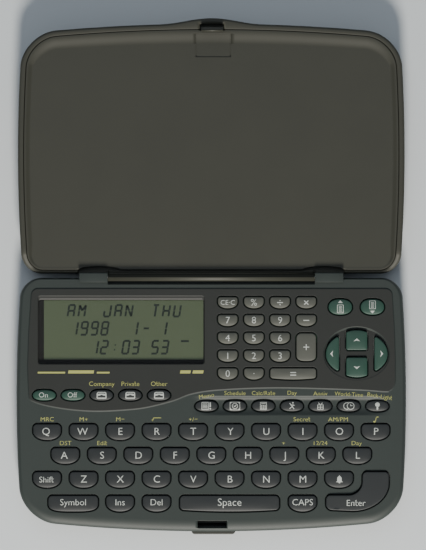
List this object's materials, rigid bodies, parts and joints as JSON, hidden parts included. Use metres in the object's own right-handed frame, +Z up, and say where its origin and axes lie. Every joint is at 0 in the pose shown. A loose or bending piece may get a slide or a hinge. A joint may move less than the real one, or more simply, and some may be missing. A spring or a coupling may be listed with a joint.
{
  "type": "pocket electronic organiser",
  "caption": "Pocket electronic organiser with a hinged lid, opened flat: a display, a calculator keypad, cursor keys and a letter keyboard.",
  "frame": {"origin": "centre of the flat underside of the keyboard half, on the lower housing, where the organiser rests on a desk", "axes": "+X to the user's right, +Y from the keyboard towards the open lid, +Z up out of the keys; at rest the lid is open flat"},
  "size_m": [0.1282, 0.1698, 0.0147],
  "materials": {
    "housing_plastic": "fine satin texture",
    "lid_plastic": "fine satin texture",
    "key_dark": "satin",
    "key_green": "satin",
    "key_grey": "matte",
    "window_clear": "clear, polished",
    "display_glass": "reflective liquid crystal panel",
    "backlight_foil": "smooth foil",
    "board": "solder mask",
    "dome_rubber": "matte",
    "cell_steel": "brushed",
    "pin_steel": "drawn wire",
    "disc_brass": "rolled"
  },
  "bodies": {
    "base": {"upper_housing": "housing_plastic", "lower_housing": "housing_plastic", "display_window": "window_clear", "display_panel": "display_glass", "backlight_panel": "backlight_foil", "circuit_board": "board", "dome_sheet": "dome_rubber", "battery_main": "cell_steel", "battery_backup": "cell_steel", "buzzer": "disc_brass", "hinge_pin_left": "pin_steel", "hinge_pin_right": "pin_steel", "case_screw_left": "pin_steel", "case_screw_right": "pin_steel"},
    "lid": {"lid_shell": "lid_plastic", "lid_liner": "lid_plastic"},
    "battery_cover": {"battery_cover": "housing_plastic"},
    "latch_button": {"latch_button": "housing_plastic"},
    "key_q": {"key_q": "key_dark"},
    "key_w": {"key_w": "key_dark"},
    "key_e": {"key_e": "key_dark"},
    "key_r": {"key_r": "key_dark"},
    "key_t": {"key_t": "key_dark"},
    "key_y": {"key_y": "key_dark"},
    "key_u": {"key_u": "key_dark"},
    "key_i": {"key_i": "key_dark"},
    "key_o": {"key_o": "key_dark"},
    "key_p": {"key_p": "key_dark"},
    "key_a": {"key_a": "key_dark"},
    "key_s": {"key_s": "key_dark"},
    "key_d": {"key_d": "key_dark"},
    "key_f": {"key_f": "key_dark"},
    "key_g": {"key_g": "key_dark"},
    "key_h": {"key_h": "key_dark"},
    "key_j": {"key_j": "key_dark"},
    "key_k": {"key_k": "key_dark"},
    "key_l": {"key_l": "key_dark"},
    "key_z": {"key_z": "key_dark"},
    "key_x": {"key_x": "key_dark"},
    "key_c": {"key_c": "key_dark"},
    "key_v": {"key_v": "key_dark"},
    "key_b": {"key_b": "key_dark"},
    "key_n": {"key_n": "key_dark"},
    "key_m": {"key_m": "key_dark"},
    "key_shift": {"key_shift": "key_dark"},
    "key_alarm": {"key_alarm": "key_dark"},
    "key_symbol": {"key_symbol": "key_dark"},
    "key_insert": {"key_insert": "key_dark"},
    "key_delete": {"key_delete": "key_dark"},
    "key_space": {"key_space": "key_dark"},
    "key_caps": {"key_caps": "key_dark"},
    "key_enter": {"key_enter": "key_dark"},
    "key_up": {"key_up": "key_green"},
    "key_down": {"key_down": "key_green"},
    "key_left": {"key_left": "key_green"},
    "key_right": {"key_right": "key_green"},
    "key_on": {"key_on": "key_green"},
    "key_off": {"key_off": "key_green"},
    "calculator_keypad": {"calculator_keypad": "key_grey"},
    "function_keypad": {"function_keypad": "key_dark"}
  },
  "joints": [
    {"name": "lid_hinge", "type": "hinge", "parent": "base", "child": "lid", "pos_m": [0, 0.0418, 0.01015], "axis": [1, 0, 0], "range_deg": [0, 180]},
    {"name": "battery_cover_slide", "type": "slide", "parent": "base", "child": "battery_cover", "axis": [0, 1, 0], "range_m": [0, 0.026]},
    {"name": "latch_button_press", "type": "slide", "parent": "base", "child": "latch_button", "axis": [0, 1, 0], "range_m": [0, 0.0009], "stiffness_N_per_m": 1000},
    {"name": "key_q_press", "type": "slide", "parent": "base", "child": "key_q", "axis": [0, 0, -1], "range_m": [0, 0.0006], "stiffness_N_per_m": 800},
    {"name": "key_w_press", "type": "slide", "parent": "base", "child": "key_w", "axis": [0, 0, -1], "range_m": [0, 0.0006], "stiffness_N_per_m": 800},
    {"name": "key_e_press", "type": "slide", "parent": "base", "child": "key_e", "axis": [0, 0, -1], "range_m": [0, 0.0006], "stiffness_N_per_m": 800},
    {"name": "key_r_press", "type": "slide", "parent": "base", "child": "key_r", "axis": [0, 0, -1], "range_m": [0, 0.0006], "stiffness_N_per_m": 800},
    {"name": "key_t_press", "type": "slide", "parent": "base", "child": "key_t", "axis": [0, 0, -1], "range_m": [0, 0.0006], "stiffness_N_per_m": 800},
    {"name": "key_y_press", "type": "slide", "parent": "base", "child": "key_y", "axis": [0, 0, -1], "range_m": [0, 0.0006], "stiffness_N_per_m": 800},
    {"name": "key_u_press", "type": "slide", "parent": "base", "child": "key_u", "axis": [0, 0, -1], "range_m": [0, 0.0006], "stiffness_N_per_m": 800},
    {"name": "key_i_press", "type": "slide", "parent": "base", "child": "key_i", "axis": [0, 0, -1], "range_m": [0, 0.0006], "stiffness_N_per_m": 800},
    {"name": "key_o_press", "type": "slide", "parent": "base", "child": "key_o", "axis": [0, 0, -1], "range_m": [0, 0.0006], "stiffness_N_per_m": 800},
    {"name": "key_p_press", "type": "slide", "parent": "base", "child": "key_p", "axis": [0, 0, -1], "range_m": [0, 0.0006], "stiffness_N_per_m": 800},
    {"name": "key_a_press", "type": "slide", "parent": "base", "child": "key_a", "axis": [0, 0, -1], "range_m": [0, 0.0006], "stiffness_N_per_m": 800},
    {"name": "key_s_press", "type": "slide", "parent": "base", "child": "key_s", "axis": [0, 0, -1], "range_m": [0, 0.0006], "stiffness_N_per_m": 800},
    {"name": "key_d_press", "type": "slide", "parent": "base", "child": "key_d", "axis": [0, 0, -1], "range_m": [0, 0.0006], "stiffness_N_per_m": 800},
    {"name": "key_f_press", "type": "slide", "parent": "base", "child": "key_f", "axis": [0, 0, -1], "range_m": [0, 0.0006], "stiffness_N_per_m": 800},
    {"name": "key_g_press", "type": "slide", "parent": "base", "child": "key_g", "axis": [0, 0, -1], "range_m": [0, 0.0006], "stiffness_N_per_m": 800},
    {"name": "key_h_press", "type": "slide", "parent": "base", "child": "key_h", "axis": [0, 0, -1], "range_m": [0, 0.0006], "stiffness_N_per_m": 800},
    {"name": "key_j_press", "type": "slide", "parent": "base", "child": "key_j", "axis": [0, 0, -1], "range_m": [0, 0.0006], "stiffness_N_per_m": 800},
    {"name": "key_k_press", "type": "slide", "parent": "base", "child": "key_k", "axis": [0, 0, -1], "range_m": [0, 0.0006], "stiffness_N_per_m": 800},
    {"name": "key_l_press", "type": "slide", "parent": "base", "child": "key_l", "axis": [0, 0, -1], "range_m": [0, 0.0006], "stiffness_N_per_m": 800},
    {"name": "key_z_press", "type": "slide", "parent": "base", "child": "key_z", "axis": [0, 0, -1], "range_m": [0, 0.0006], "stiffness_N_per_m": 800},
    {"name": "key_x_press", "type": "slide", "parent": "base", "child": "key_x", "axis": [0, 0, -1], "range_m": [0, 0.0006], "stiffness_N_per_m": 800},
    {"name": "key_c_press", "type": "slide", "parent": "base", "child": "key_c", "axis": [0, 0, -1], "range_m": [0, 0.0006], "stiffness_N_per_m": 800},
    {"name": "key_v_press", "type": "slide", "parent": "base", "child": "key_v", "axis": [0, 0, -1], "range_m": [0, 0.0006], "stiffness_N_per_m": 800},
    {"name": "key_b_press", "type": "slide", "parent": "base", "child": "key_b", "axis": [0, 0, -1], "range_m": [0, 0.0006], "stiffness_N_per_m": 800},
    {"name": "key_n_press", "type": "slide", "parent": "base", "child": "key_n", "axis": [0, 0, -1], "range_m": [0, 0.0006], "stiffness_N_per_m": 800},
    {"name": "key_m_press", "type": "slide", "parent": "base", "child": "key_m", "axis": [0, 0, -1], "range_m": [0, 0.0006], "stiffness_N_per_m": 800},
    {"name": "key_shift_press", "type": "slide", "parent": "base", "child": "key_shift", "axis": [0, 0, -1], "range_m": [0, 0.0006], "stiffness_N_per_m": 800},
    {"name": "key_alarm_press", "type": "slide", "parent": "base", "child": "key_alarm", "axis": [0, 0, -1], "range_m": [0, 0.0006], "stiffness_N_per_m": 800},
    {"name": "key_symbol_press", "type": "slide", "parent": "base", "child": "key_symbol", "axis": [0, 0, -1], "range_m": [0, 0.0006], "stiffness_N_per_m": 800},
    {"name": "key_insert_press", "type": "slide", "parent": "base", "child": "key_insert", "axis": [0, 0, -1], "range_m": [0, 0.0006], "stiffness_N_per_m": 800},
    {"name": "key_delete_press", "type": "slide", "parent": "base", "child": "key_delete", "axis": [0, 0, -1], "range_m": [0, 0.0006], "stiffness_N_per_m": 800},
    {"name": "key_space_press", "type": "slide", "parent": "base", "child": "key_space", "axis": [0, 0, -1], "range_m": [0, 0.0006], "stiffness_N_per_m": 800},
    {"name": "key_caps_press", "type": "slide", "parent": "base", "child": "key_caps", "axis": [0, 0, -1], "range_m": [0, 0.0006], "stiffness_N_per_m": 800},
    {"name": "key_enter_press", "type": "slide", "parent": "base", "child": "key_enter", "axis": [0, 0, -1], "range_m": [0, 0.0006], "stiffness_N_per_m": 800},
    {"name": "key_up_press", "type": "slide", "parent": "base", "child": "key_up", "axis": [0, 0, -1], "range_m": [0, 0.0006], "stiffness_N_per_m": 800},
    {"name": "key_down_press", "type": "slide", "parent": "base", "child": "key_down", "axis": [0, 0, -1], "range_m": [0, 0.0006], "stiffness_N_per_m": 800},
    {"name": "key_left_press", "type": "slide", "parent": "base", "child": "key_left", "axis": [0, 0, -1], "range_m": [0, 0.0006], "stiffness_N_per_m": 800},
    {"name": "key_right_press", "type": "slide", "parent": "base", "child": "key_right", "axis": [0, 0, -1], "range_m": [0, 0.0006], "stiffness_N_per_m": 800},
    {"name": "key_on_press", "type": "slide", "parent": "base", "child": "key_on", "axis": [0, 0, -1], "range_m": [0, 0.0006], "stiffness_N_per_m": 800},
    {"name": "key_off_press", "type": "slide", "parent": "base", "child": "key_off", "axis": [0, 0, -1], "range_m": [0, 0.0006], "stiffness_N_per_m": 800},
    {"name": "calculator_keypad_press", "type": "slide", "parent": "base", "child": "calculator_keypad", "axis": [0, 0, -1], "range_m": [0, 0.0006], "stiffness_N_per_m": 800},
    {"name": "function_keypad_press", "type": "slide", "parent": "base", "child": "function_keypad", "axis": [0, 0, -1], "range_m": [0, 0.0006], "stiffness_N_per_m": 800}
  ]
}
